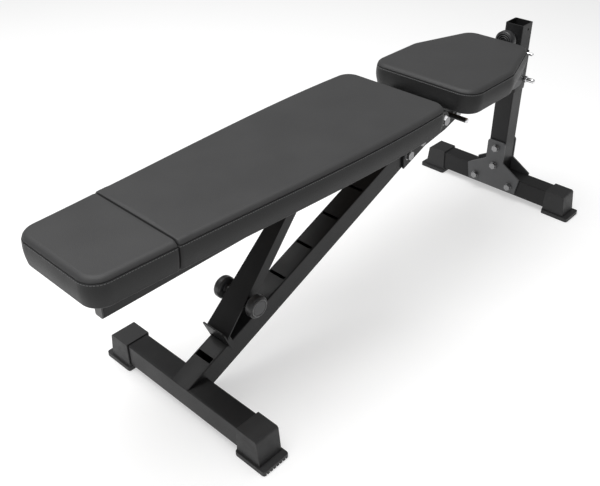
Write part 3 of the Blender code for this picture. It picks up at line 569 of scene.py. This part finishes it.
def pad_profile(thick, crown, sag):
    """(inset, height, share towards the middle) from the pocket's ceiling to the middle of the top."""
    ceiling = 0.0125
    rows = [(PAD_POCKET, ceiling, share / 4) for share in range(4, 0, -1)]
    rows += [(PAD_POCKET, ceiling, 0.0), (PAD_POCKET, 0.0010, 0.0), (PAD_POCKET - 0.0008, 0.0, 0.0)]
    low_edge = 0.0055
    for i in range(7):
        a = math.radians(90 * i / 6)
        rows.append((PULLED_IN + low_edge * (1 - math.sin(a)), low_edge * (1 - math.cos(a)), 0.0))
    side_top = thick - PAD_EDGE
    for i in range(1, 12):
        s = i / 12
        z = low_edge + (side_top - low_edge) * s
        rows.append((PULLED_IN * (1 - s) ** 1.6 - sag * math.sin(math.pi * s), z, 0.0))
    for i in range(29):
        a = math.radians(90 * i / 28)
        inset = PAD_EDGE * (1 - math.cos(a))
        z = side_top + PAD_EDGE * math.sin(a)
        from_seam = (z - (thick - SEAM_DROP)) / 0.0011
        pinch = 0.0014 * math.exp(-from_seam * from_seam)
        rows.append((inset + pinch * math.cos(a), z - pinch * math.sin(a), 0.0))
    for i in range(1, 19):
        share = i / 18
        rows.append((PAD_EDGE, thick + crown * (1 - (1 - share) ** 2.4), share))
    return rows


def pad(name, side_line, height, thick, crown, sag, split=None):
    """A pad lofted round one half of its plan, mirrored, on a grid that closes along its middle line.
    A split is the x of an end that butts against another pad, whose edge is much tighter."""
    half = even_steps(side_line, 0.0032)
    loop = half + [Vector((p.x, -p.y)) for p in reversed(half[1:-1])]
    count = len(loop)
    low_x = min(p.x for p in loop)
    high_x = max(p.x for p in loop)
    reach = max(p.y for p in loop) * 0.80
    middle_low = low_x + (0.010 if split is not None and split < (low_x + high_x) / 2 else reach)
    middle_high = high_x - (0.010 if split is not None and split > (low_x + high_x) / 2 else reach)
    normals = []
    for i in range(count):
        along = loop[(i + 1) % count] - loop[i - 1]
        normals.append(Vector((along.y, -along.x)).normalized())
    if sum(n.dot(p - Vector(((low_x + high_x) / 2, 0))) for n, p in zip(normals, loop)) < 0:
        normals = [-n for n in normals]
    arc = [0.0]
    for i in range(count):
        arc.append(arc[-1] + (loop[(i + 1) % count] - loop[i]).length)
    rows = pad_profile(thick, crown, sag)
    seam_rows = [0.0]
    for (a0, z0, s0), (a1, z1, s1) in zip(rows, rows[1:]):
        seam_rows.append(seam_rows[-1] + math.hypot(a1 - a0, z1 - z0) + abs(s1 - s0) * reach)
    seam_at = min((abs(z - (thick - SEAM_DROP)) + (1 if share or inset > 0.006 else 0), v)
                  for (inset, z, share), v in zip(rows, seam_rows))[1]
    form = bmesh.new()
    uv = form.loops.layers.uv.new("seam")
    grid = []
    for inset, z, share in rows:
        ring = []
        near_seam = math.exp(-((z - (thick - SEAM_DROP)) / 0.005) ** 2) if share == 0.0 else 0.0
        for point, normal, run in zip(loop, normals, arc):
            if split is not None and abs(point.x - split) < 0.03:
                near = 1 - abs(point.x - split) / 0.03
                toward = 1.0 if split > (low_x + high_x) / 2 else -1.0
                plain = point - normal * inset
                half_width = reach / 0.80
                tight = Vector((point.x - toward * 0.12 * inset * abs(normal.x),
                                point.y * (half_width - inset) / half_width))
                edge = plain.lerp(tight, min(1.0, near * 3))
            else:
                wave = math.sin(run / 0.0027) * math.sin(run / 0.0191 + 1.3)
                edge = point - normal * (inset + PUCKER_DEPTH * near_seam * wave)
            heart = Vector((min(max(point.x, middle_low), middle_high), 0.0))
            flat = edge.lerp(heart, share)
            ring.append(form.verts.new((flat.x, flat.y, height + z)))
        grid.append(ring)
    for j in range(len(rows) - 1):
        for i in range(count):
            k = (i + 1) % count
            corners = (grid[j][i], grid[j][k], grid[j + 1][k], grid[j + 1][i])
            face = form.faces.new(corners)
            face.smooth = True
            marks = ((arc[i], seam_rows[j]), (arc[i + 1], seam_rows[j]), (arc[i + 1], seam_rows[j + 1]),
                     (arc[i], seam_rows[j + 1]))
            for loop_corner, (u, v) in zip(face.loops, marks):
                loop_corner[uv].uv = (u, v - seam_at)
    bmesh.ops.remove_doubles(form, verts=form.verts, dist=0.00005)
    bmesh.ops.dissolve_degenerate(form, dist=0.00002, edges=form.edges)
    bmesh.ops.holes_fill(form, edges=[e for e in form.edges if e.is_boundary], sides=0)
    bmesh.ops.recalc_face_normals(form, faces=form.faces)
    mesh = bpy.data.meshes.new(name)
    form.to_mesh(mesh)
    form.free()
    piece = bpy.data.objects.new(name, mesh)
    studio.collection.objects.link(piece)
    return piece


# Backrest pads: one long board with a separate head section, split by a tight dark line. The main
# section stands slightly proud of the head section.

head_low, head_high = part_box("backrest_head_pad")
main_low, main_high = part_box("backrest_pad")
back_start = head_low[0]
back_length = main_high[0] - back_start
back_corner = 0.037
split_corner = 0.004
split_gap = 0.0003


def back_half_width(x):
    share = (x - back_start) / back_length
    return 0.1051 + 0.0307 * share + 0.0873 * share ** 2 - 0.0849 * share ** 3


def back_side_line(start, end, start_corner, end_corner):
    """Half the plan of a stretch of the backrest, from its start on the middle line to its end."""
    width = back_half_width(start + start_corner)
    points = [Vector((start, 0.0))]
    points += arc_points((start + start_corner, width - start_corner), start_corner, 180, 90, 14)
    stations = 40
    for i in range(1, stations):
        x = start + start_corner + (end - end_corner - start - start_corner) * i / stations
        points.append(Vector((x, back_half_width(x))))
    width = back_half_width(end - end_corner)
    points += arc_points((end - end_corner, width - end_corner), end_corner, 90, 0, 14)
    points.append(Vector((end, 0.0)))
    return points


back_thick = head_high[2] - head_low[2]
main_proud = 0.0008
head_end = head_high[0] - split_gap
main_start = main_low[0] + split_gap
head_line = back_side_line(back_start, head_end, back_corner, split_corner)
head_pad = pad("backrest_head_cushion", head_line, head_low[2], back_thick, 0.0012, 0.0012, head_end)
main_line = back_side_line(main_start, main_high[0], split_corner, back_corner)
main_pad = pad("backrest_main_cushion", main_line, main_low[2], back_thick + main_proud, 0.0020, 0.0018,
               main_start)
stands_for(head_pad, upholstery, "upholstery", "backrest_head_pad")
stands_for(main_pad, upholstery, "upholstery", "backrest_pad")


# Seat pad: square at the front with round corners, then tapered towards the post. It is covered like
# the backrest and sits on its own board.

seat_low, seat_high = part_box("seat_pad")


def seat_side_line():
    """Half the seat's plan, from the middle of its front to the middle of its back."""
    side = seat_high[1]
    corner = 0.040
    taper = math.degrees(math.atan(1 / 3))
    points = [Vector((seat_low[0], 0.0))]
    points += arc_points((seat_low[0] + corner, side - corner), corner, 180, 90, 14)
    shoulder = 0.06
    points += arc_points((seat_low[0] + 0.1574, side - shoulder), shoulder, 90, 90 - taper, 8)
    last = points[-1]
    end = 0.040
    centre_x = seat_high[0] - end
    centre_y = last.y - (centre_x - last.x) / 3 - end * math.sqrt(10) / 3
    points += arc_points((centre_x, centre_y), end, 90 - taper, 0, 12)
    points.append(Vector((seat_high[0], 0.0)))
    return points


seat_pad = pad("seat_cushion", seat_side_line(), seat_low[2], seat_high[2] - seat_low[2], 0.0030, 0.0020)
stands_for(seat_pad, upholstery, "upholstery", "seat_pad")
